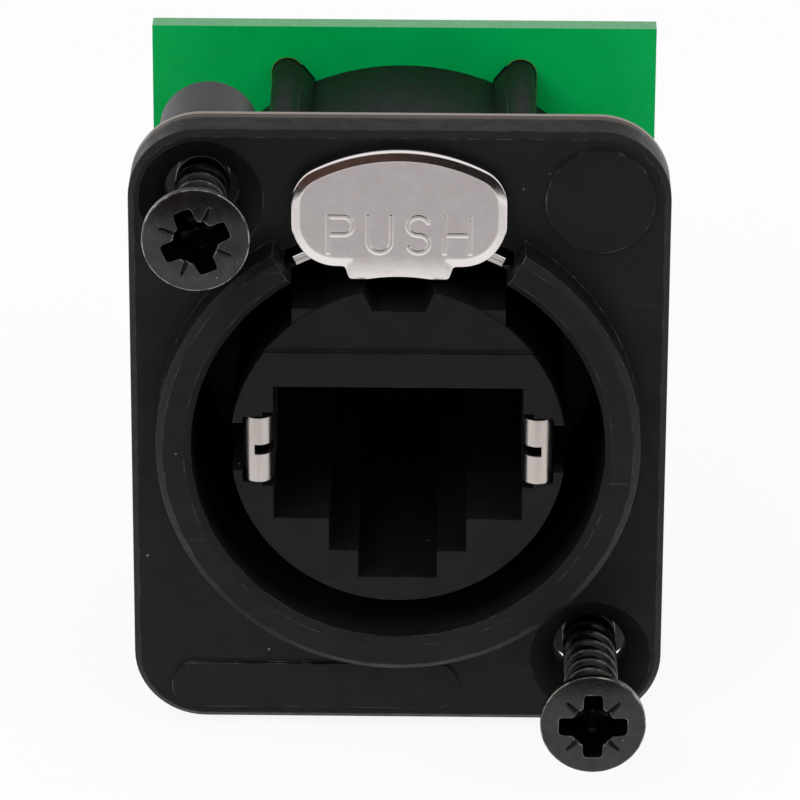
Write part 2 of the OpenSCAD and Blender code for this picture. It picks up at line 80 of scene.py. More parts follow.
def add(tree, kind, inputs=None, **settings):
    """Adds one shader node: an input that is another node's output is linked, and any other input is set."""
    made = tree.nodes.new("ShaderNode" + kind)
    for name, value in settings.items():
        setattr(made, name, value)
    for name, value in (inputs or {}).items():
        if isinstance(value, bpy.types.NodeSocket):
            tree.links.new(value, made.inputs[name])
        else:
            made.inputs[name].default_value = value
    return made


def place(tree, stretch=EVEN):
    """A point's own place on the piece, in metres, stretched by a factor along each axis."""
    spot = add(tree, "TexCoord").outputs["Object"]
    return add(tree, "Mapping", {"Vector": spot, "Scale": stretch}).outputs["Vector"]


def along(tree, axis):
    """A point's own place along one axis, in metres."""
    return add(tree, "SeparateXYZ", {"Vector": place(tree)}).outputs[axis]


def clouds(tree, size, detail=3.0, stretch=EVEN):
    """Noise from 0 to 1 whose patches are about size metres across."""
    spot = place(tree, stretch)
    settings = {"Vector": spot, "Scale": 1 / size, "Detail": detail, "Roughness": NOISE_GRAIN}
    return add(tree, "TexNoise", settings).outputs["Fac"]


def ease(tree, value, start, end, low, high):
    """low where value is under start, high where it is over end, and a smooth slope between them."""
    ends = {"Value": value, "From Min": start, "From Max": end, "To Min": low, "To Max": high}
    return add(tree, "MapRange", ends, interpolation_type="SMOOTHSTEP").outputs["Result"]


def spread(tree, noise, low, high):
    """Noise spread smoothly from low to high over its usual range."""
    return ease(tree, noise, NOISE_LOW, NOISE_HIGH, low, high)


def calc(tree, operation, first, second):
    """One sum of two numbers, such as ADD, MULTIPLY or MAXIMUM."""
    return add(tree, "Math", {0: first, 1: second}, operation=operation).outputs[0]


def tint(tree, share, under, over):
    """Two colours mixed: all of the first at a share of 0, and all of the second at 1."""
    made = add(tree, "Mix", {0: share, 6: under, 7: over}, data_type="RGBA")
    return made.outputs[2]


def specks(tree, spacing, radius, kept):
    """1 on small round grains, about one to each spacing with only a share kept, and 0 elsewhere."""
    cell = add(tree, "TexVoronoi", {"Vector": place(tree), "Scale": 1 / spacing})
    reach = radius / spacing
    near = ease(tree, cell.outputs["Distance"], SPECK_CORE * reach, reach, 1.0, 0.0)
    pick = add(tree, "SeparateColor", {"Color": cell.outputs["Color"]}).outputs[0]
    return calc(tree, "MULTIPLY", near, ease(tree, pick, 1 - kept, 1 - kept + SPECK_PICK, 0.0, 1.0))


def start_finish(name):
    """A new material with its node tree and its main shader."""
    material = bpy.data.materials.new(name)
    material.use_nodes = True
    tree = material.node_tree
    return material, tree, tree.nodes["Principled BSDF"]


def edges(tree, width):
    """1 where the surface turns sharply within that width, as at an edge, and 0 where it is flat."""
    rounded = add(tree, "Bevel", {"Radius": width}, samples=BEVEL_SAMPLES).outputs["Normal"]
    straight = add(tree, "NewGeometry").outputs["Normal"]
    alike = add(tree, "VectorMath", {0: rounded, 1: straight}, operation="DOT_PRODUCT").outputs["Value"]
    return ease(tree, alike, EDGE_TURNED, EDGE_FLAT, 1.0, 0.0)


def dress(tree, shader, colour, roughness, edge, height, depth):
    """Links colour and roughness, rounds the edges over a width, and raises height by depth as bump."""
    tree.links.new(colour, shader.inputs["Base Color"])
    tree.links.new(roughness, shader.inputs["Roughness"])
    rounded = add(tree, "Bevel", {"Radius": edge}, samples=BEVEL_SAMPLES).outputs["Normal"]
    bump = add(tree, "Bump", {"Height": height, "Distance": depth, "Normal": rounded})
    tree.links.new(bump.outputs["Normal"], shader.inputs["Normal"])


def paint(material, *names):
    """Gives the material to those solids."""
    for name in names:
        nodes[name].data.materials.clear()
        nodes[name].data.materials.append(material)


MOULDED_SPECULAR = 0.15
MOULDED_EDGE = 0.11 * MM
TONE_PATCH = 2.2 * MM
HAIR_WIDE = 0.35 * MM
HAIR_DRAWN = (0.04, 1, 1)
HAIR_FROM = 0.68
HAIR_TO = 0.8
HAIR_PALE = 0.1
LINT_PALE = 0.7
RUB_HIGHLIGHT_PATCH = 0.9 * MM
RUB_HIGHLIGHT_FROM = 0.46
RUB_HIGHLIGHT_TO = 0.66
RUB_HIGHLIGHT_LEAST = 0.03
RUB_HIGHLIGHT_MOST = 0.7
RUB_HIGHLIGHT_WIDE = 0.09 * MM
RUB_HIGHLIGHT_END_Y = -0.9 * MM
RUB_HIGHLIGHT_FADE = 0.2 * MM
PLASTIC_RUB_HIGHLIGHT = (0.15, 0.145, 0.135, 1)
GLOSS_PATCH = 0.8 * MM
GRAIN_WIDE = 0.16 * MM
GRAIN_DEEP = 0.004 * MM


def black_moulding(name, deep, worn, dust_share, edge_wear_and_highlight):
    """Black plastic: clouds between two dark tones, hairlines, dust, a grain as bump, and edges that are worn
    pale by rubbing where hands reach them, in front of the ground plate. Their pale tone is also a painted
    highlight."""
    material, tree, shader = start_finish(name)
    shader.inputs["Specular IOR Level"].default_value = MOULDED_SPECULAR
    tone = tint(tree, clouds(tree, TONE_PATCH), deep, worn)
    hair = clouds(tree, HAIR_WIDE, detail=2.0, stretch=HAIR_DRAWN)
    streak = ease(tree, hair, HAIR_FROM, HAIR_TO, 0.0, HAIR_PALE)
    dust = specks(tree, spacing=1.5 * MM, radius=0.09 * MM, kept=dust_share)
    lint = specks(tree, spacing=0.55 * MM, radius=0.03 * MM, kept=dust_share)
    grains = calc(tree, "MAXIMUM", dust, calc(tree, "MULTIPLY", lint, LINT_PALE))
    # Painted highlight: the pale tone laid on the edges also stands in for the highlight lines along them.
    patchy = ease(tree, clouds(tree, RUB_HIGHLIGHT_PATCH), RUB_HIGHLIGHT_FROM, RUB_HIGHLIGHT_TO, RUB_HIGHLIGHT_LEAST, RUB_HIGHLIGHT_MOST)
    reached = ease(tree, along(tree, "Y"), RUB_HIGHLIGHT_END_Y - RUB_HIGHLIGHT_FADE, RUB_HIGHLIGHT_END_Y, edge_wear_and_highlight, 0.0)
    rubbed_and_sheen = calc(tree, "MULTIPLY", edges(tree, RUB_HIGHLIGHT_WIDE), calc(tree, "MULTIPLY", patchy, reached))
    pale = calc(tree, "MAXIMUM", streak, calc(tree, "MAXIMUM", grains, rubbed_and_sheen))
    colour = tint(tree, pale, tone, PLASTIC_RUB_HIGHLIGHT)
    rough = spread(tree, clouds(tree, GLOSS_PATCH), low=0.36, high=0.5)
    dress(tree, shader, colour, rough, MOULDED_EDGE, clouds(tree, GRAIN_WIDE, detail=2.0), GRAIN_DEEP)
    return material


HOUSING_DEEP = (0.005, 0.005, 0.0056, 1)
HOUSING_WORN = (0.011, 0.011, 0.012, 1)
housing_black = black_moulding("housing_black", HOUSING_DEEP, HOUSING_WORN, dust_share=0.3, edge_wear_and_highlight=1.0)
paint(housing_black, "front_housing")

# Ground plate: thin sheet with the flange's outline, blanked from tinned steel and clamped behind the flange.
# Blanking leaves a torn, brownish band along the front of its cut edge, and a bright sheared band behind it,
# which is also a painted highlight.
# Its faces keep the fine lines of the rolled sheet.
PLATE_DARK = (0.08, 0.062, 0.053, 1)
PLATE_DULL = (0.17, 0.135, 0.116, 1)
PLATE_SHEARED_HIGHLIGHT = (0.46, 0.41, 0.375, 1)
PLATE_SEAM = (0.008, 0.007, 0.006, 1)
PLATE_ROLLED_DEEP = (0.36, 0.33, 0.31, 1)
PLATE_ROLLED_PALE = (0.5, 0.47, 0.445, 1)
PLATE_ROLLED = (0.05, 1, 1)
PLATE_METAL_SHARE = 0.7
PLATE_EDGE = 0.05 * MM
PLATE_FRONT = -0.9 * MM
SEAM_BAND_WIDE = 0.08 * MM
SHEARED_HIGHLIGHT_FROM = -0.34 * MM
SHEAR_HIGHLIGHT_FADE = 0.08 * MM
DRAG_WIDE = 0.5 * MM
DRAG_DRAWN = (1, 0.2, 1)
ROLLED_WIDE = 0.25 * MM
LINES_DEEP = 0.004 * MM
FLAT_FROM = 0.6
FLAT_FULL = 0.8


def facing(tree):
    """1 on a face that is square to the Y axis, and 0 on one that runs along it."""
    normal = add(tree, "NewGeometry").outputs["Normal"]
    return calc(tree, "ABSOLUTE", add(tree, "SeparateXYZ", {"Vector": normal}).outputs["Y"], 0)


def blanked_plate():
    """Tinned steel: two browns drawn along the sheet's thickness by the cut, a bright tone at its rear that
    is also a painted highlight, a near-black band along the seam at its front, and two greys in rolled lines
    on the faces."""
    material, tree, shader = start_finish("plate_steel")
    shader.inputs["Metallic"].default_value = PLATE_METAL_SHARE
    drag = clouds(tree, DRAG_WIDE, detail=4.0, stretch=DRAG_DRAWN)
    behind = along(tree, "Y")
    # Painted highlight: the bright band at the rear of the cut edge.
    sheared_highlight = ease(tree, behind, SHEARED_HIGHLIGHT_FROM, SHEARED_HIGHLIGHT_FROM + SHEAR_HIGHLIGHT_FADE, 0.0, 1.0)
    # A near-black band along the seam at the front of the cut edge, next to the flange.
    near_seam = ease(tree, behind, PLATE_FRONT + SEAM_BAND_WIDE, PLATE_FRONT + 2 * SEAM_BAND_WIDE, 1.0, 0.0)
    torn = tint(tree, near_seam, tint(tree, drag, PLATE_DARK, PLATE_DULL), PLATE_SEAM)
    edge = tint(tree, sheared_highlight, torn, PLATE_SHEARED_HIGHLIGHT)
    rolled = clouds(tree, ROLLED_WIDE, stretch=PLATE_ROLLED)
    flat = ease(tree, facing(tree), FLAT_FROM, FLAT_FULL, 0.0, 1.0)
    colour = tint(tree, flat, edge, tint(tree, rolled, PLATE_ROLLED_DEEP, PLATE_ROLLED_PALE))
    lines = add(tree, "Mix", {0: flat, 2: drag, 3: rolled}, data_type="FLOAT").outputs[0]
    dress(tree, shader, colour, spread(tree, lines, low=0.4, high=0.58), PLATE_EDGE, lines, LINES_DEEP)
    return material


paint(blanked_plate(), "ground_plate")

# Port insert: the round black core with the front port, moulded apart and pushed into the housing's web.
# It has the housing's grain, a little smoother, and less dust because it stands in the bore.
INSERT_DEEP = (0.0045, 0.0045, 0.005, 1)
INSERT_WORN = (0.0095, 0.0095, 0.0105, 1)
insert_black = black_moulding("insert_black", INSERT_DEEP, INSERT_WORN, dust_share=0.2, edge_wear_and_highlight=0.15)
paint(insert_black, "port_insert")

# Shield tabs: strips of plated spring brass, rolled to a round with a slit and clipped in the port's sides.
# They bear on the plug's shield, so the plating is polished along the rub and slightly clouded elsewhere.
TAB_PALE = (0.66, 0.62, 0.59, 1)
TAB_WARM = (0.4, 0.345, 0.32, 1)
TAB_STREAK = 0.55 * MM
RUB_LINE = 0.2 * MM
RUB_ACROSS = (0.1, 1, 1)
RUB_UPRIGHT = (1, 1, 0.1)
SOFT_PATCH = 1.3 * MM


def plated_metal(name, dark, pale, gloss, dull, edge, ripple,
                 drawn=RUB_ACROSS, patch=SOFT_PATCH, streaked=EVEN):
    """Bright plating: two tones clouded together, rubbing drawn out in the gloss, and a ripple as bump."""
    material, tree, shader = start_finish(name)
    shader.inputs["Metallic"].default_value = 1.0
    cloud = clouds(tree, patch, stretch=streaked)
    rub_and_sheen = clouds(tree, RUB_LINE, stretch=drawn)
    colour = tint(tree, cloud, dark, pale)
    dress(tree, shader, colour, spread(tree, rub_and_sheen, gloss, dull), edge, cloud, ripple)
    return material


tab_plating = plated_metal(
    "tab_plating", TAB_WARM, TAB_PALE, gloss=0.24, dull=0.36, edge=0.06 * MM, ripple=0.004 * MM,
    drawn=RUB_UPRIGHT, patch=TAB_STREAK, streaked=RUB_UPRIGHT,
)
paint(tab_plating, "shield_tab_left", "shield_tab_right")

# Front contacts: eight gold-plated spring wires, bent back in a hairpin, in a comb at the port's ceiling.
# The wires are drawn and plated, and the comb is moulded and slid in from behind.
WAYS = 8
WIRE_DEEP = (0.62, 0.39, 0.12, 1)
WIRE_PALE = (0.92, 0.7, 0.32, 1)
gold_wire = plated_metal(
    "gold_wire", WIRE_DEEP, WIRE_PALE, gloss=0.16, dull=0.32, edge=0.03 * MM, ripple=0.004 * MM,
)
paint(gold_wire, *[f"front_contact_{way + 1}" for way in range(WAYS)])
paint(insert_black, "front_contact_block")

# Pivot pin: a drawn steel pin laid in a groove behind the flange, on which the push latch turns.
# It is bright from drawing, with fine lines along it.
STEEL_DEEP = (0.6, 0.58, 0.56, 1)
STEEL_PALE = (0.88, 0.86, 0.84, 1)
pin_steel = plated_metal(
    "spring_steel", STEEL_DEEP, STEEL_PALE, gloss=0.2, dull=0.4, edge=0.05 * MM, ripple=0.006 * MM,
)
paint(pin_steel, "latch_pivot_pin")

# Latch spring: a bright steel leaf bent to an arch, whose ends stand on the housing's shoulders.
# It is cut from strip in two thin layers, so a line runs along its edge; the latch presses its crown down.
LEAF_SPREAD = math.radians(27)
LEAF_THICK = 0.5 * MM
LEAF_CORNER = 0.05 * MM
LEAF_GROOVE = 0.03 * MM
LEAF_STEPS = 72


def solid_from_rings(name, rings, start=None, end=None):
    """Rings of points joined to each other by quads. A point, or else one flat face, closes each end."""
    rows, around, _ = rings.shape
    corner = np.arange(rows * around).reshape(rows, around)
    after = np.roll(corner, -1, axis=1)
    faces = np.stack([corner[:-1], after[:-1], after[1:], corner[1:]], axis=-1).reshape(-1, 4).tolist()
    points = rings.reshape(-1, 3)
    for row, tip in ((0, start), (rows - 1, end)):
        if tip is None:
            faces.append(corner[row].tolist())
            continue
        pole = np.full(around, len(points))
        points = np.vstack([points, tip])
        faces += np.stack([pole, corner[row], after[row]], axis=-1).tolist()
    mesh = bpy.data.meshes.new(name)
    mesh.from_pydata(points.tolist(), [], faces)
    shell = bmesh.new()
    shell.from_mesh(mesh)
    bmesh.ops.recalc_face_normals(shell, faces=shell.faces)
    shell.to_mesh(mesh)
    shell.free()
    mesh.shade_smooth()
    piece = bpy.data.objects.new(name, mesh)
    bpy.context.scene.collection.objects.link(piece)
    return piece


def crease(piece, degrees):
    """Keeps the edges that turn by more than this many degrees sharp."""
    piece.data.set_sharp_from_angle(angle=math.radians(degrees))


def leaf_section(depth):
    """Half the section's outline is a strip edge with small corners and a groove at half its thickness.
    The other edge is the same, turned by half a turn, so the pair makes the strip's whole section."""
    half = LEAF_THICK / 2
    out = depth / 2
    edge = np.array([
        (-half, out - LEAF_CORNER), (-half + LEAF_CORNER, out), (-LEAF_GROOVE, out),
        (0, out - 2 * LEAF_GROOVE),
        (LEAF_GROOVE, out), (half - LEAF_CORNER, out), (half, out - LEAF_CORNER),
    ])
    return np.vstack([edge, -edge])


leaf_low, leaf_high = (np.array(corner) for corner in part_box("latch_spring"))
leaf_radius = leaf_high[0] / math.sin(LEAF_SPREAD)
leaf_centre_z = leaf_high[2] - leaf_radius
section = leaf_section(leaf_high[1] - leaf_low[1])
turn = np.linspace(-LEAF_SPREAD, LEAF_SPREAD, LEAF_STEPS)[:, None]
reach = leaf_radius - LEAF_THICK / 2 + section[:, 0][None, :]
middle_y = (leaf_high[1] + leaf_low[1]) / 2
leaf_rings = np.stack([
    reach * np.sin(turn),
    middle_y + section[:, 1] + 0 * turn,
    leaf_centre_z + reach * np.cos(turn),
], axis=-1)
leaf = solid_from_rings("spring_leaf", leaf_rings)
crease(leaf, degrees=30)
leaf_steel = plated_metal(
    "leaf_steel", STEEL_DEEP, STEEL_PALE, gloss=0.16, dull=0.26, edge=0.02 * MM, ripple=0.003 * MM,
)
leaf.data.materials.append(leaf_steel)
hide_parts("latch_spring")
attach(leaf, "connector")
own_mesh(leaf)

# Push latch: a button stamped from steel sheet and nickel plated, with a bevel, a rolled edge, a shallow rim,
# a hook below and the word PUSH pressed up from behind. A lever on its back is rolled round the pivot pin.
TINY = 1e-9
AROUND = 640
FIELD_ROWS = 104
BEVEL_ROWS = 22
ROLL_ROWS = 10
RAY_SOFT = 2
BELL_SPAN = 3
PLATE_HIGH = 5.74 * MM
HALF_WIDE = 5.15 * MM
CROWN_R = 8.95 * MM
CROWN_LIFT = 0.16 * MM
LOW_R = 2.2 * MM
LOW_X = HALF_WIDE - LOW_R
HIGH_R = 1.85 * MM
HIGH_X = HALF_WIDE - HIGH_R
BEVEL = 0.45 * MM
BEVEL_DEEP = 0.18 * MM
BEVEL_SOFT = 0.022 * MM
BEVEL_TILT = math.atan(BEVEL_DEEP / BEVEL)
EDGE_R = 0.2 * MM
SHEET = 0.3 * MM
FIELD_INSET = 0.6 * MM
RIM = 0.48 * MM
RIM_TUCK = 0.02 * MM
RIM_ROWS = ((0, 0.5), (0, 0.94), (RIM_TUCK, 1))
HOOK_HALF = 2.6 * MM
HOOK_TAPER = 0.21 * MM
HOOK_LOW = 8.3 * MM
HOOK_ARC = 8.45 * MM
HOOK_BACK = 1.2 * MM
LETTER_HALF = 0.04 * MM
LETTER_SLOPE = 0.1 * MM
LETTER_HEIGHT = 0.015 * MM
CORNER_SOFT = 5
FOOT_LEAN = 0.45
FOOT_ROLL = 0.35
UPPER_FROM = 0.05
UPPER_SPAN = 0.4
SAG_FROM = 0.75 * MM
SAG = 0.0375 / MM

latch_low, latch_high = (np.array(corner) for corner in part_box("push_latch"))
plate_front = latch_low[1]
plate_low = latch_high[2] - PLATE_HIGH
low_turn = plate_low + LOW_R
crown_z = latch_high[2] + CROWN_LIFT - CROWN_R
high_turn = crown_z + math.sqrt((CROWN_R - HIGH_R) ** 2 - HIGH_X**2)
plate_middle = (low_turn + high_turn) / 2


def far_side(offset_x, offset_z, radius, across, up):
    """Distance along each ray to where it leaves a circle, from a start that is offset from its centre."""
    toward = offset_x * across + offset_z * up
    return -toward + np.sqrt(np.maximum(toward**2 - offset_x**2 - offset_z**2 + radius**2, 0))


def corner_reach(x, z, radius, start_x, upward, across, up):
    """Distance along each ray to a corner's arc, which starts at start_x and ends level with its centre, with
    no limit where the ray misses the arc."""
    side = np.where(across < 0, -1, 1)
    leave = far_side(-side * x, plate_middle - z, radius, across, up)
    on_arc = (np.abs(leave * across) >= start_x) & (upward * (plate_middle + leave * up - z) >= 0)
    return np.where(on_arc, leave, np.inf)


def button_reach(across, up, inset):
    """Distance from the button's middle to its edge, drawn in by inset: a crown of large radius, straight
    sides, a flat foot, and one radius for the lower corners and another for the upper ones, which the crown
    meets where the line from its centre through theirs leaves it."""
    crown = far_side(0, plate_middle - crown_z, CROWN_R - inset, across, up)
    sides = (HALF_WIDE - inset) / np.maximum(np.abs(across), TINY)
    foot = (plate_middle - plate_low - inset) / np.maximum(-up, TINY)
    low = corner_reach(LOW_X, low_turn, LOW_R - inset, LOW_X, -1, across, up)
    meet_x = HIGH_X * (1 + (HIGH_R - inset) / (CROWN_R - HIGH_R))
    high = corner_reach(HIGH_X, high_turn, HIGH_R - inset, meet_x, 1, across, up)
    return np.min([crown, sides, foot, low, high], axis=0)


def hook_reach(across, up, inset):
    """Distance from the button's middle to the hook's edge, drawn in by inset: straight sides that draw in
    below the button's foot, and a foot of its own that is hollowed to an arc."""
    down = np.minimum(up, -TINY)
    half = HOOK_HALF - inset
    draw = HOOK_TAPER / (plate_low - HOOK_LOW)
    straight = half / np.maximum(np.abs(across), TINY)
    drawn_in = (half + draw * (plate_middle - plate_low)) / (np.abs(across) - draw * down)
    sides = np.minimum(straight, drawn_in)
    toward = plate_middle * down
    arc_square = toward**2 - plate_middle**2 + (HOOK_ARC + inset) ** 2
    hollow = np.where(arc_square > 0, -toward - np.sqrt(np.maximum(arc_square, 0)), np.inf)
    foot = np.minimum((HOOK_LOW + inset - plate_middle) / down, hollow)
    return np.where(up < 0, np.minimum(sides, foot), 0)


def softened(values, width):
    """The mean of each value with its neighbours round the ring, weighted by a bell curve."""
    span = np.arange(-BELL_SPAN * width, BELL_SPAN * width + 1)
    bell = np.exp(-0.5 * (span / width) ** 2)
    return sum(np.roll(values, step) * weight for step, weight in zip(span, bell / bell.sum()))


ARC_STEPS = 33


def line(x0, z0, x1, z1):
    """A straight stroke between two points, in millimetres."""
    return np.array([(x0, z0), (x1, z1)])


def arc(x, z, wide, high, first, last):
    """A stroke on an ellipse from one angle to another, in degrees."""
    angle = np.radians(np.linspace(first, last, ARC_STEPS))
    return np.stack([x + wide * np.cos(angle), z + high * np.sin(angle)], axis=1)


LETTER_LOW = 9.74
LETTER_HIGH = 11.56
LETTER_BAR = 10.65
BOWL = (LETTER_HIGH - LETTER_BAR) / 2
UPPER_BOWL_Z = LETTER_HIGH - BOWL
LOWER_BOWL_Z = LETTER_LOW + BOWL
P_STEM = -3.4
P_BOWL = -2.66
U_LEFT = -1.49
U_HALF = 0.555
U_MIDDLE = U_LEFT + U_HALF
U_RIGHT = U_MIDDLE + U_HALF
U_TURN_Z = LETTER_LOW + U_HALF
S_MIDDLE = 0.92
S_HALF = 0.51
S_TAIL = 25
H_LEFT = 2.17
H_RIGHT = 3.39
STROKES = [
    line(P_STEM, LETTER_LOW, P_STEM, LETTER_HIGH),
    line(P_STEM, LETTER_HIGH, P_BOWL, LETTER_HIGH),
    arc(P_BOWL, UPPER_BOWL_Z, BOWL, BOWL, 90, -90),
    line(P_BOWL, LETTER_BAR, P_STEM, LETTER_BAR),
    line(U_LEFT, LETTER_HIGH, U_LEFT, U_TURN_Z),
    arc(U_MIDDLE, U_TURN_Z, U_HALF, U_HALF, 180, 360),
    line(U_RIGHT, U_TURN_Z, U_RIGHT, LETTER_HIGH),
    arc(S_MIDDLE, UPPER_BOWL_Z, S_HALF, BOWL, S_TAIL, 270),
    arc(S_MIDDLE, LOWER_BOWL_Z, S_HALF, BOWL, 90, S_TAIL - 180),
    line(H_LEFT, LETTER_LOW, H_LEFT, LETTER_HIGH),
    line(H_RIGHT, LETTER_LOW, H_RIGHT, LETTER_HIGH),
    line(H_LEFT, LETTER_BAR, H_RIGHT, LETTER_BAR),
]


def smooth(share):
    """The share held between 0 and 1, then eased: three times its square less twice its cube."""
    held = np.clip(share, 0, 1)
    return held * held * (3 - 2 * held)


def letter_rise(x, z):
    """Height of the pressed word: a flat ridge along each stroke, with a smooth slope at its sides."""
    nearest = np.full(x.shape, np.inf)
    for stroke in STROKES:
        for start, stop in zip(stroke[:-1] * MM, stroke[1:] * MM):
            run = stop - start
            share = ((x - start[0]) * run[0] + (z - start[1]) * run[1]) / (run @ run)
            share = np.clip(share, 0, 1)
            apart = np.hypot(x - start[0] - share * run[0], z - start[1] - share * run[1])
            nearest = np.minimum(nearest, apart)
    return LETTER_HEIGHT * smooth((LETTER_HALF + LETTER_SLOPE - nearest) / LETTER_SLOPE)


def pressed_button():
    """Rings from the button's middle out over the field, down the bevel, round the edge and back up inside.
    Each ring is the outline drawn in by some width, on the same rays, and set back by some depth.
    Round the foot the bevel is shallower and the edge sharper, and the face falls back towards the hook."""
    angle = np.linspace(0, 2 * math.pi, AROUND, endpoint=False)
    across, up = np.cos(angle), np.sin(angle)
    hook_past = hook_reach(across, up, 0) - button_reach(across, up, 0)
    on_hook = softened(np.clip(hook_past / BEVEL, 0, 1), CORNER_SOFT)
    upper = smooth((up - UPPER_FROM) / UPPER_SPAN)
    lean = FOOT_LEAN + (1 - FOOT_LEAN) * upper
    edge_r = EDGE_R * (FOOT_ROLL + (1 - FOOT_ROLL) * upper)
    edge_line = edge_r * (1 - math.sin(BEVEL_TILT))

    def outline(width, with_hook=True):
        reach = button_reach(across, up, width)
        if with_hook:
            reach = np.maximum(reach, hook_reach(across, up, width))
        return softened(reach, RAY_SOFT)

    def ring(reach, depth):
        z = plate_middle + reach * up
        sag = SAG * np.maximum(plate_low + SAG_FROM - z, 0) ** 2
        return np.stack([reach * across, plate_front + depth + sag, z], axis=1)

    def bevel_depth(width):
        slope = BEVEL_DEEP / BEVEL * (1 - on_hook) * lean
        return BEVEL_SOFT * np.log1p(np.exp((BEVEL - width) / BEVEL_SOFT)) * slope

    rings = []
    field = outline(FIELD_INSET)
    for share in np.linspace(0, 1, FIELD_ROWS + 1)[1:]:
        reach = field * share
        rings.append(ring(reach, -letter_rise(reach * across, plate_middle + reach * up)))
    for width in np.linspace(FIELD_INSET, edge_line, BEVEL_ROWS)[1:]:
        rings.append(ring(outline(width), bevel_depth(width)))
    for tilt in np.linspace(BEVEL_TILT, math.pi / 2, ROLL_ROWS)[1:]:
        roll = edge_r * (math.cos(BEVEL_TILT) - math.cos(tilt))
        rings.append(ring(outline(edge_r * (1 - math.sin(tilt))), bevel_depth(edge_line) + roll))
    rolled = bevel_depth(edge_line) + edge_r * math.cos(BEVEL_TILT)
    rim = RIM * (1 - on_hook) + HOOK_BACK * on_hook
    for width, share in RIM_ROWS:
        rings.append(ring(outline(width), rolled * (1 - share) + rim * share))
    inside = outline(SHEET, with_hook=False)
    rings.append(ring(outline(RIM_TUCK, with_hook=False), rim))
    rings.append(ring(inside, RIM))
    rings.append(ring(inside, bevel_depth(SHEET) + SHEET))
    rings.append(ring(outline(FIELD_INSET, with_hook=False), SHEET))
    peak = float(letter_rise(np.zeros(1), np.full(1, plate_middle))[0])
    front = (0, plate_front - peak, plate_middle)
    back = (0, plate_front + SHEET, plate_middle)
    return solid_from_rings("push_button", np.array(rings), front, back)


NICKEL_WARM = (0.76, 0.71, 0.695, 1)
NICKEL_PALE = (0.86, 0.81, 0.8, 1)
nickel = plated_metal(
    "latch_nickel", NICKEL_WARM, NICKEL_PALE, gloss=0.13, dull=0.2, edge=0.03 * MM, ripple=0.01 * MM,
    drawn=EVEN,
)
button = pressed_button()
crease(button, degrees=50)
button.data.materials.append(nickel)
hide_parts("push_latch")
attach(button, "latch")

KNUCKLE_R = 0.9 * MM
KNUCKLE_BORE = 0.56 * MM
LEVER_HALF = 2.0 * MM
TONGUE_THICK = 0.45 * MM
TONGUE_BELOW = 0.48 * MM
SLIT = math.radians(4)
SLIT_HALF = 0.1 * MM
KNUCKLE_STEPS = 24
NOSE_STEPS = 9
BORE_STEPS = 40


def lever_outline(pivot):
    """The lever's side view: from the button's back over the knuckle, along the tongue, and back below it.
    A narrow slit leads in to the pin's bore, as it does where a strip is rolled round a pin."""
    back = plate_front + SHEET
    tongue_top = pivot[1] - TONGUE_BELOW
    tongue_end = latch_high[1]
    meet = -math.asin(TONGUE_BELOW / KNUCKLE_R)
    over = np.linspace(math.pi / 2, meet, KNUCKLE_STEPS)
    half = TONGUE_THICK / 2
    nose = np.linspace(math.pi / 2, -math.pi / 2, NOSE_STEPS)
    hole = np.linspace(math.pi + SLIT, 3 * math.pi - SLIT, BORE_STEPS)

    def bend(centre, radius, turns):
        return np.stack([centre[0] + radius * np.cos(turns), centre[1] + radius * np.sin(turns)], axis=1)

    return np.vstack([
        bend(pivot, KNUCKLE_R, over),
        bend((tongue_end - half, tongue_top - half), half, nose),
        [(pivot[0], pivot[1] - KNUCKLE_R), (back, pivot[1] - KNUCKLE_R), (back, pivot[1] - SLIT_HALF)],
        bend(pivot, KNUCKLE_BORE, hole),
        [(back, pivot[1] + SLIT_HALF), (back, pivot[1] + KNUCKLE_R)],
    ])


pin_low, pin_high = (np.array(corner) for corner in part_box("latch_pivot_pin"))
side_view = lever_outline(((pin_low[1] + pin_high[1]) / 2, (pin_low[2] + pin_high[2]) / 2))
sides = np.array([[-LEVER_HALF], [LEVER_HALF]])
lever_rings = np.stack(np.broadcast_arrays(sides, side_view[:, 0], side_view[:, 1]), axis=-1)
lever = solid_from_rings("latch_lever", lever_rings)
crease(lever, degrees=30)
lever.data.materials.append(nickel)
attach(lever, "latch")

# Circuit board: glass-fibre board under green solder mask, routed to size, with two slots for the clip posts.
# The mask is glossy and thins at the routed slots, and the pale, cloudy laminate shows on the sawn edges.
MASK_DEEP = (0.0, 0.29, 0.048, 1)
MASK_PALE = (0.0, 0.45, 0.105, 1)
MASK_FLECK = (0.0, 0.05, 0.02, 1)
LAMINATE_DEEP = (0.1, 0.34, 0.15, 1)
LAMINATE_PALE = (0.2, 0.48, 0.26, 1)
SLOT_TAN = (0.09, 0.14, 0.02, 1)
SLOT_X = 5.95 * MM
SLOT_R = 0.79 * MM
SLOT_TURN_Z = 11.35 * MM
SLOT_LOW_Z = 9.36 * MM
SLOT_LINE = 0.1 * MM
SLOT_SHARE = 0.8
MASK_SPECULAR = 0.1
MASK_EDGE = 0.04 * MM
MASK_PATCH = 4 * MM
MASK_GLOSS_PATCH = 0.6 * MM
MASK_RIPPLE_WIDE = 0.3 * MM
MASK_RIPPLE = 0.006 * MM
FLECK_SHARE = 0.6
CUT_FULL = 0.4
CUT_FROM = 0.6
LAMINATE_WIDE = 0.15 * MM
LAMINATE_DRAWN = (1, 0.3, 1)


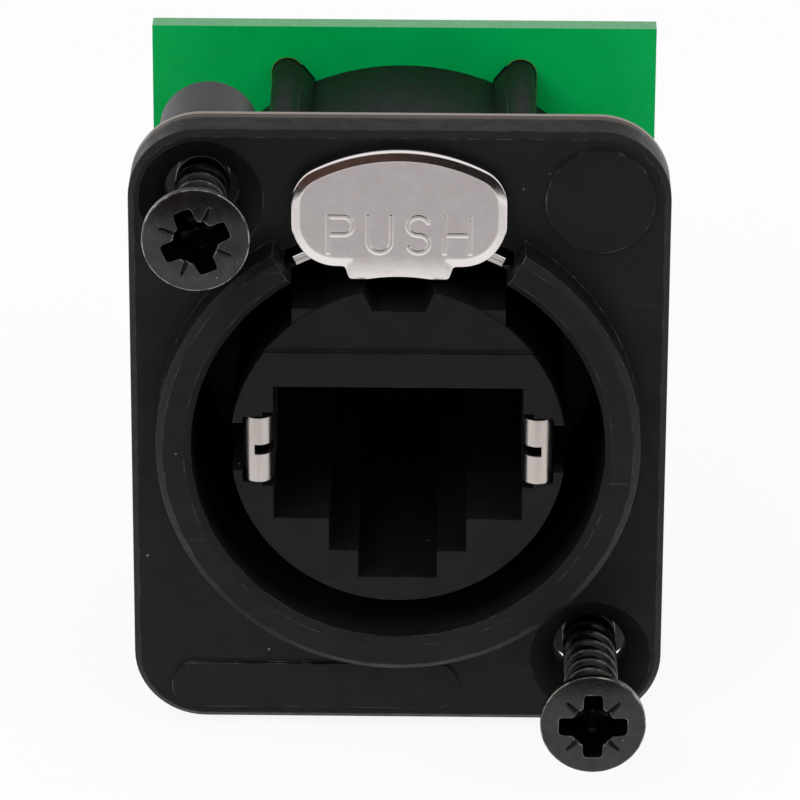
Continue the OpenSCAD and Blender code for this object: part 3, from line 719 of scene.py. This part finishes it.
def masked_board():
    """Green mask clouded between two tones with fine flecks, tan round the slots, and bare laminate on the
    edges."""
    material, tree, shader = start_finish("board_green")
    shader.inputs["Specular IOR Level"].default_value = MASK_SPECULAR
    from_x = calc(tree, "SUBTRACT", calc(tree, "ABSOLUTE", along(tree, "X"), 0), SLOT_X)
    height = calc(tree, "ABSOLUTE", along(tree, "Z"), 0)
    past = calc(tree, "MAXIMUM", calc(tree, "SUBTRACT", height, SLOT_TURN_Z), 0)
    square = calc(tree, "ADD", calc(tree, "POWER", from_x, 2), calc(tree, "POWER", past, 2))
    apart = calc(tree, "SUBTRACT", calc(tree, "POWER", square, 0.5), SLOT_R)
    upper = ease(tree, height, SLOT_LOW_Z - SLOT_LINE, SLOT_LOW_Z, 0.0, SLOT_SHARE)
    rim = calc(tree, "MULTIPLY", upper, ease(tree, apart, 0.0, SLOT_LINE, 1.0, 0.0))
    cut = ease(tree, facing(tree), CUT_FULL, CUT_FROM, 1.0, 0.0)
    tone = tint(tree, clouds(tree, MASK_PATCH), MASK_DEEP, MASK_PALE)
    fleck = calc(tree, "MULTIPLY", specks(tree, spacing=1.2 * MM, radius=0.05 * MM, kept=0.3), FLECK_SHARE)
    edged = tint(tree, rim, tint(tree, fleck, tone, MASK_FLECK), SLOT_TAN)
    fibres = clouds(tree, LAMINATE_WIDE, detail=2.0, stretch=LAMINATE_DRAWN)
    colour = tint(tree, cut, edged, tint(tree, fibres, LAMINATE_DEEP, LAMINATE_PALE))
    rough = spread(tree, clouds(tree, MASK_GLOSS_PATCH), low=0.22, high=0.36)
    dress(tree, shader, colour, rough, MASK_EDGE, clouds(tree, MASK_RIPPLE_WIDE), MASK_RIPPLE)
    return material


paint(masked_board(), "circuit_board")

# Rear jack: a second black socket on the board's back, in a can of tinned sheet folded round it, with its own
# eight gold contacts in a comb. The can is snapped over the moulding and soldered by its legs.
CAN_DEEP = (0.52, 0.51, 0.49, 1)
CAN_PALE = (0.66, 0.65, 0.625, 1)
CAN_LINE = 0.3 * MM
CAN_ROLLED = (1, 0.04, 1)
JACK_DEEP = (0.005, 0.0051, 0.0055, 1)
JACK_WORN = (0.012, 0.012, 0.0125, 1)
jack_black = black_moulding("jack_black", JACK_DEEP, JACK_WORN, dust_share=0.2, edge_wear_and_highlight=0.0)
paint(jack_black, "rear_jack", "rear_contact_block")
paint(gold_wire, *[f"rear_contact_{way + 1}" for way in range(WAYS)])
can_tin = plated_metal(
    "can_tin", CAN_DEEP, CAN_PALE, gloss=0.24, dull=0.34, edge=0.07 * MM, ripple=0.0006 * MM,
    drawn=CAN_ROLLED, patch=CAN_LINE, streaked=CAN_ROLLED,
)
paint(can_tin, "rear_jack_can")

# Leg solder: a little tin solder where each leg of the can goes through the board, flowed in by hand.
# It wets the leg and fills the hole, so its side is hollow and its foot runs out thin on the board.
SOLDER_R = 1.15 * MM
SOLDER_TIP = 0.3 * MM
SOLDER_HIGH = 0.45 * MM
SOLDER_SUNK = 0.4 * MM
LEG_HOLE_R = 0.78 * MM
LEG_INSET = 0.15 * MM
SOLDER_HOLLOW = 3
SOLDER_ROWS = 14
SOLDER_TURNS = 48
SOLDER_DEEP = (0.46, 0.46, 0.45, 1)
SOLDER_PALE = (0.68, 0.68, 0.66, 1)


def solder_profile():
    """Radius and height from inside the hole out to the foot, then up a side whose height rises as a power
    of the way in."""
    way_in = np.linspace(0, 1, SOLDER_ROWS)
    side_r = SOLDER_R + (SOLDER_TIP - SOLDER_R) * way_in
    hole = [(LEG_HOLE_R, -SOLDER_SUNK), (LEG_HOLE_R, 0.0)]
    return np.vstack([hole, np.stack([side_r, SOLDER_HIGH * way_in**SOLDER_HOLLOW], axis=1)])


solder_tin = plated_metal(
    "leg_tin", SOLDER_DEEP, SOLDER_PALE, gloss=0.16, dull=0.3, edge=0.03 * MM, ripple=0.01 * MM, drawn=EVEN,
)
can_low, can_high = (np.array(corner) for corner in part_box("rear_jack_can"))
board_back = float(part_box("circuit_board")[1][1])
profile = solder_profile()
around = np.linspace(0, 2 * math.pi, SOLDER_TURNS, endpoint=False)
for side, x in (("left", can_low[0] + LEG_INSET), ("right", can_high[0] - LEG_INSET)):
    solder_rings = np.stack([
        x + profile[:, :1] * np.cos(around),
        board_back + profile[:, 1:] + 0 * around,
        profile[:, :1] * np.sin(around),
    ], axis=-1)
    solder = solid_from_rings(f"leg_solder_{side}", solder_rings)
    crease(solder, degrees=60)
    solder.data.materials.append(solder_tin)
    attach(solder, "connector")

# Screw sleeves: grey plastic sleeves pushed on the screws behind the panel, so that they can't fall out.
# They are turned from bar, so fine rings run round them.
SLEEVE_DEEP = (0.022, 0.021, 0.025, 1)
SLEEVE_PALE = (0.043, 0.042, 0.047, 1)
SLEEVE_PATCH = 1.5 * MM
SLEEVE_EDGE = 0.08 * MM
RING_WIDE = 0.12 * MM
RING_DRAWN = (0.05, 1, 0.05)
RING_DEEP = 0.001 * MM


def turned_sleeve():
    """Grey plastic in two tones, in rings along the sleeve's length, with a soft gloss."""
    material, tree, shader = start_finish("sleeve_grey")
    fine_rings = clouds(tree, RING_WIDE, detail=2.0, stretch=RING_DRAWN)
    colour = tint(tree, clouds(tree, SLEEVE_PATCH), SLEEVE_DEEP, SLEEVE_PALE)
    rough = spread(tree, fine_rings, low=0.44, high=0.52)
    dress(tree, shader, colour, rough, SLEEVE_EDGE, fine_rings, RING_DEEP)
    return material


paint(turned_sleeve(), "upper_screw_sleeve", "lower_screw_sleeve")

# Screws: countersunk steel screws with a stamped cross recess and a rolled thread, blackened by phosphating.
# The rim and the thread's crests are worn bright by rubbing and carry a painted highlight, and painted shade
# darkens the recess, the rim's side and the thread's root. A tick leads out from each inner corner of the
# cross.
TURNS = 256
ROWS_PER_PITCH = 22
HEAD_DOME = 0.3 * MM
DOME_POWER = 2.4
EDGE_ROUND = 0.07 * MM
RIM_HIGH = 0.4 * MM
CONE_DEEP = 1.9 * MM
CROSS_HALF = 0.47 * MM
CROSS_REACH = 1.66 * MM
CROSS_CORE = 1.06 * MM
CROSS_DEEP = 1.6 * MM
CROSS_DRAFT = 0.53
TICK_FROM = 1.0 * MM
TICK_TO = 1.85 * MM
TICK_HALF = 0.17 * MM
TICK_DEEP = 0.16 * MM
TICK_TIP = 0.35
TICK_STEEP = 6
FLOOR_CONE = 0.3 * MM
FLOOR_ROWS = 6
WALL_SHARES = (0.25, 0.5, 0.75, 0.96, 1)
FACE_ROWS = 34
EDGE_ROWS = 6
RIM_SHARES = (0.15, 0.9)
CONE_ROWS = 9
RECESS_EDGE = FLOOR_ROWS + len(WALL_SHARES) - 1
THREAD_CREST = 1.33 * MM
THREAD_ROOT = 1.06 * MM
THREAD_PITCH = 1.05 * MM
THREAD_RUN_OUT = 0.6 * MM
CREST_SHARE = 0.3
CREST_FINE = 5
SHANK_SHADE = 0.85
RIM_SHADE = 0.6
CREST_RUB_HIGHLIGHT = 0.45
RECESS_RUB_HIGHLIGHT = 0.45
POINT_LONG = 1.3 * MM
POINT_R = 0.35 * MM


def cross_reach(angle):
    """Distance from the recess's middle to its edge: a cross of straight arms, with a round core between."""
    quarter = np.mod(angle + math.pi / 4, math.pi / 2) - math.pi / 4
    beside = CROSS_HALF / np.maximum(np.abs(np.sin(quarter)), TINY)
    arm = np.minimum(CROSS_REACH / np.cos(quarter), beside)
    return softened(np.maximum(arm, CROSS_CORE), RAY_SOFT)


def head_face(radius, angle, face_r):
    """Set-back of the head's face: a shallow dome, with a tick that narrows outwards on each diagonal."""
    dome = HEAD_DOME * (radius / face_r) ** DOME_POWER
    quarter = np.mod(angle, math.pi / 2) - math.pi / 4
    beside = np.abs(radius * np.sin(quarter))
    left = np.clip((TICK_TO - radius) / (TICK_TO - TICK_FROM), 0, 1)
    half = TICK_HALF * (TICK_TIP + (1 - TICK_TIP) * left)
    return dome + TICK_DEEP * np.clip(1 - beside / half, 0, 1) * np.clip(TICK_STEEP * left, 0, 1)


def thread_ridge(depth, angle):
    """1 on the thread's crest, which climbs one pitch a turn, falling as a cosine to 0 in its root."""
    climb = np.mod(depth / THREAD_PITCH - angle / (2 * math.pi), 1)
    apart = np.clip(np.abs(climb - 0.5) / CREST_SHARE, 0, 1)
    return (1 + np.cos(math.pi * apart)) / 2


def thread_radius(depth, angle, length):
    """Radius of the rolled thread: the ridge on a core that tapers to the point, run out below the head."""
    fade = np.clip((depth - CONE_DEEP) / THREAD_RUN_OUT, 0, 1)
    taper = np.clip((length - depth) / POINT_LONG, 0, 1)
    core = POINT_R + (THREAD_ROOT - POINT_R) * taper
    return core + (THREAD_CREST - THREAD_ROOT) * thread_ridge(depth, angle) * fade * taper


def threaded_screw(name, node, spin):
    """Rings from the recess's floor up its wall, over the domed face, down the rim, the cone and the thread.
    The point attribute shade is painted shade: 1 in the recess and high below the rim and in the thread, 0
    elsewhere.
    The attribute for rubbing and painted highlight is 1 on the edges of the rim, lower on the recess's edge
    and the thread's crest."""
    low, high = (np.array(corner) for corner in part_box(node))
    centre = (low + high) / 2
    length = high[1] - low[1]
    head_r = (high[0] - low[0]) / 2
    face_r = head_r - EDGE_ROUND
    angle = np.linspace(0, 2 * math.pi, TURNS, endpoint=False)
    cross = cross_reach(angle)
    radii, depths = [], []

    def ring(radius, depth):
        radii.append(radius + 0 * angle)
        depths.append(depth + 0 * angle)

    for share in np.linspace(0, 1, FLOOR_ROWS + 1)[1:]:
        ring(share * cross * CROSS_DRAFT, CROSS_DEEP + FLOOR_CONE * (1 - share))
    for share in WALL_SHARES:
        wall = cross * (CROSS_DRAFT + (1 - CROSS_DRAFT) * share)
        ring(wall, CROSS_DEEP * (1 - share) + head_face(cross, angle, face_r) * share)
    for share in np.linspace(0, 1, FACE_ROWS)[1:]:
        radius = cross * (1 - share) + face_r * share
        ring(radius, head_face(radius, angle, face_r))
    edge_row = len(radii)
    for tilt in np.linspace(0, math.pi / 2, EDGE_ROWS)[1:]:
        ring(face_r + EDGE_ROUND * np.sin(tilt), HEAD_DOME + EDGE_ROUND - EDGE_ROUND * np.cos(tilt))
    rim_row = len(radii)
    for share in RIM_SHARES:
        ring(head_r, HEAD_DOME + EDGE_ROUND + (RIM_HIGH - EDGE_ROUND) * share)
    cone_row = len(radii)
    for share in np.linspace(0, 1, CONE_ROWS):
        ring(head_r + (THREAD_ROOT - head_r) * share, HEAD_DOME + RIM_HIGH + (CONE_DEEP - RIM_HIGH) * share)
    head_rows = len(radii)
    thread_long = length - HEAD_DOME - CONE_DEEP
    rows = int(thread_long / THREAD_PITCH * ROWS_PER_PITCH)
    for share in np.linspace(0, 1, rows)[1:-2]:
        depth = HEAD_DOME + CONE_DEEP + thread_long * share
        ring(thread_radius(depth, angle, length), depth)
    radius, depth = np.array(radii), np.array(depths)
    # Painted shade in the recess, the rim's side and the thread's root; painted highlight, with rubbing, on
    # the rim's edges, the recess's edge and the crests.
    crest = thread_ridge(depth, angle[None, :]) ** CREST_FINE
    shade = SHANK_SHADE * (1 - crest)
    shade[:rim_row] = 0
    shade[rim_row:head_rows] = RIM_SHADE
    shade[:RECESS_EDGE] = 1
    rub_and_sheen = CREST_RUB_HIGHLIGHT * crest
    rub_and_sheen[:head_rows] = 0
    rub_and_sheen[RECESS_EDGE:RECESS_EDGE + 2] = RECESS_RUB_HIGHLIGHT
    rub_and_sheen[edge_row:rim_row] = 1
    rub_and_sheen[cone_row] = 1
    turned = angle + spin
    rings = np.stack([
        centre[0] + radius * np.cos(turned),
        low[1] + depth,
        centre[2] + radius * np.sin(turned),
    ], axis=-1)
    floor = (centre[0], low[1] + CROSS_DEEP + FLOOR_CONE, centre[2])
    screw = solid_from_rings(name, rings, floor, (centre[0], high[1], centre[2]))
    for called, rows_of, poles in (("shade", shade, [1, SHANK_SHADE]), ("rub_and_sheen", rub_and_sheen, [0, 0])):
        values = np.concatenate([rows_of.ravel(), poles])
        screw.data.attributes.new(called, "FLOAT", "POINT").data.foreach_set("value", values)
    return screw


SCREW_DEEP = (0.024, 0.022, 0.022, 1)
SCREW_WORN = (0.066, 0.062, 0.062, 1)
SCREW_PAINTED_SHADE = (0.006, 0.0055, 0.005, 1)
SCREW_PAINTED_HIGHLIGHT = (0.42, 0.4, 0.36, 1)
SCREW_METAL_SHARE = 0.85
SCREW_EDGE = 0.05 * MM
SCREW_PATCH = 0.7 * MM
SCREW_GLOSS_PATCH = 0.25 * MM
SCREW_RUB_HIGHLIGHT_PATCH = 0.5 * MM
SCREW_RUB_HIGHLIGHT_FROM = 0.4
SCREW_RUB_HIGHLIGHT_TO = 0.64
SCREW_RUB_HIGHLIGHT_LEAST = 0.1
SCREW_RUB_HIGHLIGHT_MOST = 0.9
SPECK_SHARE = 0.5
CRYSTAL_WIDE = 0.12 * MM
CRYSTAL_DEEP = 0.006 * MM


def phosphated_steel():
    """Blackened steel: two dark browns clouded together, with painted shade in the recess, the rim's side and
    the thread's root, specks, edges worn bright by rubbing in patches that also carry a painted highlight,
    and a crystalline grain as bump."""
    material, tree, shader = start_finish("screw_black")
    shader.inputs["Metallic"].default_value = SCREW_METAL_SHARE
    tone = tint(tree, clouds(tree, SCREW_PATCH), SCREW_DEEP, SCREW_WORN)
    # The shade attribute is painted shade, and the attribute read below it is a painted highlight with
    # rubbing.
    shade = add(tree, "Attribute", attribute_name="shade").outputs["Fac"]
    shaded = tint(tree, shade, tone, SCREW_PAINTED_SHADE)
    rub_and_sheen = add(tree, "Attribute", attribute_name="rub_and_sheen").outputs["Fac"]
    patches = clouds(tree, SCREW_RUB_HIGHLIGHT_PATCH)
    patchy = ease(tree, patches, SCREW_RUB_HIGHLIGHT_FROM, SCREW_RUB_HIGHLIGHT_TO, SCREW_RUB_HIGHLIGHT_LEAST, SCREW_RUB_HIGHLIGHT_MOST)
    bright = specks(tree, spacing=0.5 * MM, radius=0.05 * MM, kept=0.12)
    specked = calc(tree, "MULTIPLY", bright, SPECK_SHARE)
    rubbed_and_sheen = calc(tree, "MAXIMUM", specked, calc(tree, "MULTIPLY", rub_and_sheen, patchy))
    colour = tint(tree, rubbed_and_sheen, shaded, SCREW_PAINTED_HIGHLIGHT)
    rough = spread(tree, clouds(tree, SCREW_GLOSS_PATCH), low=0.16, high=0.28)
    dress(tree, shader, colour, rough, SCREW_EDGE, clouds(tree, CRYSTAL_WIDE, detail=2.0), CRYSTAL_DEEP)
    return material


screw_black = phosphated_steel()
UPPER_SPIN = math.radians(23)
SCREWS = (
    ("screw_upper", "upper_screw", UPPER_SPIN),
    ("screw_lower", "lower_screw", 0),
)
for screw_name, screw_node, spin in SCREWS:
    screw = threaded_screw(screw_name, screw_node, spin)
    crease(screw, degrees=55)
    screw.data.materials.append(screw_black)
    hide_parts(screw_node)
    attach(screw, "connector")

# Studio: a white floor and surround that show as white, and soft lamps. Gloss also mirrors the dim room and
# shaded paper on the camera's side. The camera stands where the photograph was taken from, with a long lens.
FLOOR_HALF = 3.0
FLOOR_DROP = 0.0005
FLOOR_TONE = (0.9, 0.9, 0.9, 1)
FLOOR_SHOWN = 0.9
WHITE = (1, 1, 1, 1)
WORLD_FILL = 0.62
ROOM_LEFT = (0.075, 0.04, 0.03, 1)
ROOM_RIGHT = (0.012, 0.01, 0.01, 1)
BACKDROP_MIRRORED = (0.42, 0.42, 0.43, 1)
PAPER_END = -0.14
PAPER_FADE = 0.06
ROOM_FLOOR = (0.03, 0.026, 0.024, 1)
SHADED_FLOOR = (0.42, 0.4, 0.41, 1)
SHADED_AT = (0.0, -0.085, 0.0)
SHADED_FROM = 0.025
SHADED_TO = 0.05


def seen_plainly(tree):
    """Two shares: one is 1 for rays from the camera or through glass, the other is 1 for rays from gloss."""
    path = add(tree, "LightPath")
    plain = calc(tree, "MAXIMUM", path.outputs["Is Camera Ray"], path.outputs["Is Transmission Ray"])
    return plain, path.outputs["Is Glossy Ray"]


floor_mesh = bpy.data.meshes.new("studio_floor")
floor_z = float(cad_box[0][2]) - FLOOR_DROP
floor_corners = FLOOR_HALF * np.array([(-1, -1), (1, -1), (1, 1), (-1, 1)])
floor_mesh.from_pydata([(x, y, floor_z) for x, y in floor_corners], [], [(0, 1, 2, 3)])
floor = bpy.data.objects.new("studio_floor", floor_mesh)
bpy.context.scene.collection.objects.link(floor)
white = bpy.data.materials.new("floor_white")
white.use_nodes = True
paper = white.node_tree
paper.nodes.clear()
matt = add(paper, "BsdfDiffuse", {"Color": FLOOR_TONE}).outputs[0]
plain, gloss = seen_plainly(paper)
away = add(paper, "VectorMath", {0: place(paper), 1: SHADED_AT}, operation="DISTANCE").outputs["Value"]
shaded = calc(paper, "MULTIPLY", gloss, ease(paper, away, SHADED_FROM, SHADED_TO, 1.0, 0.0))
past_paper = ease(paper, along(paper, "Y"), PAPER_END - PAPER_FADE, PAPER_END, 1.0, 0.0)
off_paper = calc(paper, "MULTIPLY", gloss, past_paper)
glow_colour = tint(paper, off_paper, tint(paper, shaded, WHITE, SHADED_FLOOR), ROOM_FLOOR)
glow = add(paper, "Emission", {"Color": glow_colour, "Strength": 1.0}).outputs[0]
shown = calc(paper, "MULTIPLY", calc(paper, "MAXIMUM", plain, gloss), FLOOR_SHOWN)
mixed = add(paper, "MixShader", {0: shown, 1: matt, 2: glow}).outputs[0]
add(paper, "OutputMaterial", {"Surface": mixed})
floor_mesh.materials.append(white)

ROOM_FULL_Y = -0.55
ROOM_END_Y = -0.3
ROOM_FULL_Z = 0.55
ROOM_END_Z = 0.7
ROOM_BLEND_X = 0.3
BACKDROP_FROM_Y = 0.2
BACKDROP_FULL_Y = 0.6
BACKDROP_FROM_Z = 0.05
BACKDROP_FULL_Z = 0.25
world = bpy.data.worlds.new("studio_surround")
world.use_nodes = True
bpy.context.scene.world = world
sky = world.node_tree
sky.nodes.clear()
way = add(sky, "SeparateXYZ", {"Vector": add(sky, "TexCoord").outputs["Generated"]})
in_front = ease(sky, way.outputs["Y"], ROOM_FULL_Y, ROOM_END_Y, 1.0, 0.0)
dim = calc(sky, "MULTIPLY", in_front, ease(sky, way.outputs["Z"], ROOM_FULL_Z, ROOM_END_Z, 1.0, 0.0))
at_back = ease(sky, way.outputs["Y"], BACKDROP_FROM_Y, BACKDROP_FULL_Y, 0.0, 1.0)
raised = ease(sky, way.outputs["Z"], BACKDROP_FROM_Z, BACKDROP_FULL_Z, 0.0, 1.0)
rightward = ease(sky, way.outputs["X"], -ROOM_BLEND_X, ROOM_BLEND_X, 0.0, 1.0)
room_tone = tint(sky, rightward, ROOM_LEFT, ROOM_RIGHT)
open_tone = tint(sky, calc(sky, "MULTIPLY", at_back, raised), WHITE, BACKDROP_MIRRORED)
room_colour = tint(sky, dim, open_tone, room_tone)
plain, gloss = seen_plainly(sky)
fill = add(sky, "Background", {"Color": WHITE, "Strength": WORLD_FILL}).outputs[0]
room = add(sky, "Background", {"Color": room_colour, "Strength": 1.0}).outputs[0]
backdrop = add(sky, "Background", {"Color": WHITE, "Strength": 1.0}).outputs[0]
lit = add(sky, "MixShader", {0: gloss, 1: fill, 2: room}).outputs[0]
surround = add(sky, "MixShader", {0: plain, 1: lit, 2: backdrop}).outputs[0]
add(sky, "OutputWorld", {"Surface": surround})

LAMPS = (
    ("key_lamp", (-0.28, -0.34, 0.36), 0.28, 1.3),
    ("side_lamp", (0.4, -0.2, 0.28), 0.25, 0.6),
)
for lamp_name, spot, size, power in LAMPS:
    light = bpy.data.lights.new(lamp_name, "AREA")
    light.size = size
    light.energy = power
    lamp = bpy.data.objects.new(lamp_name, light)
    lamp.location = spot
    lamp.rotation_euler = (-Vector(spot)).to_track_quat("-Z", "Y").to_euler()
    lamp.visible_glossy = False
    bpy.context.scene.collection.objects.link(lamp)

VIEW_UP = math.radians(22.976)
VIEW_SIDE = math.radians(0.603)
VIEW_ROLL = math.radians(0.24)
CAMERA_AT = Vector((2.66 * MM, -249.28 * MM, 106.24 * MM))
FOCAL_PIXELS = 5527.0
PHOTO_PIXELS = 800
SENSOR = 36.0
NEAREST_SEEN = 0.01
back_way = Vector((
    math.sin(VIEW_SIDE) * math.cos(VIEW_UP),
    -math.cos(VIEW_SIDE) * math.cos(VIEW_UP),
    math.sin(VIEW_UP),
))
right_way = (-back_way).cross(Vector((0, 0, 1))).normalized()
up_way = right_way.cross(-back_way)
rolled_right = right_way * math.cos(VIEW_ROLL) + up_way * math.sin(VIEW_ROLL)
rolled_up = up_way * math.cos(VIEW_ROLL) - right_way * math.sin(VIEW_ROLL)
lens = bpy.data.cameras.new("photo_camera")
lens.sensor_width = SENSOR
lens.sensor_fit = "HORIZONTAL"
lens.lens = FOCAL_PIXELS / PHOTO_PIXELS * SENSOR
lens.clip_start = NEAREST_SEEN
camera = bpy.data.objects.new("photo_camera", lens)
stand = Matrix((rolled_right, rolled_up, back_way)).transposed().to_4x4()
stand.translation = CAMERA_AT
camera.matrix_world = stand
bpy.context.scene.collection.objects.link(camera)
bpy.context.scene.camera = camera
bpy.context.scene.view_settings.view_transform = "Standard"
